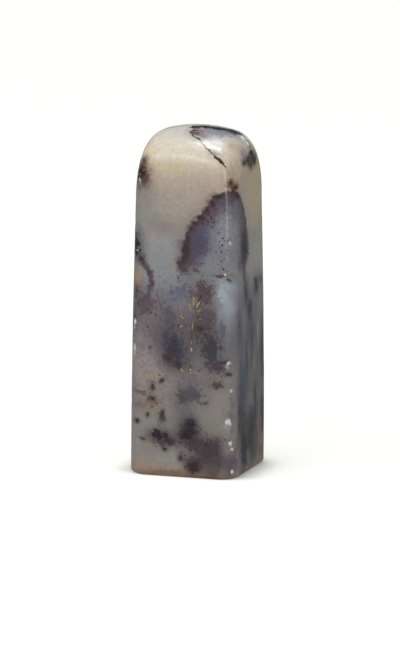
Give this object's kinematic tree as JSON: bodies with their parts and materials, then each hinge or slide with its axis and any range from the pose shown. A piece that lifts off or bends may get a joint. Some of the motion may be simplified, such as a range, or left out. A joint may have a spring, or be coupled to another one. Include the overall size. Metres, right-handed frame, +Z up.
{
  "type": "seal stamp",
  "caption": "Tall carved stone seal stamp with a rounded crown, a relief-cut square printing face and gilt knife strokes on its front.",
  "frame": {"origin": "middle of the printing face, on the surface that the seal stands on", "axes": "+Z up along the stone to its crown; -Y is the front, which carries the gilt strokes; +X is to the right of the front"},
  "size_m": [0.025, 0.0256, 0.0768],
  "materials": {
    "mottled_stone": "hand-polished soapstone, waxy gloss, cream and grey with purple-black mottling",
    "gilt": "worn gold pigment lying in knife strokes",
    "red_paste": "thin oily film of vermilion seal paste"
  },
  "bodies": {
    "root": {"seal_stone": "mottled_stone", "gilt_side_mark": "gilt", "red_paste_film": "red_paste"}
  },
  "joints": []
}
